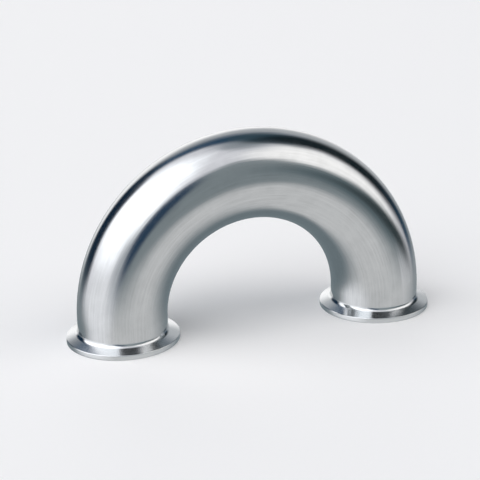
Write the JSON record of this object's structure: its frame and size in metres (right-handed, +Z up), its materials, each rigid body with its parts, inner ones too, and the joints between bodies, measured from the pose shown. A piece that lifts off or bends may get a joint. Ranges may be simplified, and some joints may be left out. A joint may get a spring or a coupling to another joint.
{
  "type": "clamp u-bend",
  "caption": "Half-turn return bend of stainless tube with a clamp ferrule at each end, which turns a sanitary line back on itself.",
  "frame": {"origin": "midway between the two ports, on the plane of their faces", "axes": "+X from the left port to the right port, +Y through the arch, +Z up from the faces to the crown"},
  "size_m": [0.2164, 0.064, 0.1143],
  "materials": {
    "satin_stainless": "satin, belt-ground",
    "turned_stainless": "bright, as turned"
  },
  "bodies": {
    "root": {"bend_tube": "satin_stainless", "ferrule_left": "turned_stainless", "ferrule_right": "turned_stainless"}
  },
  "joints": []
}
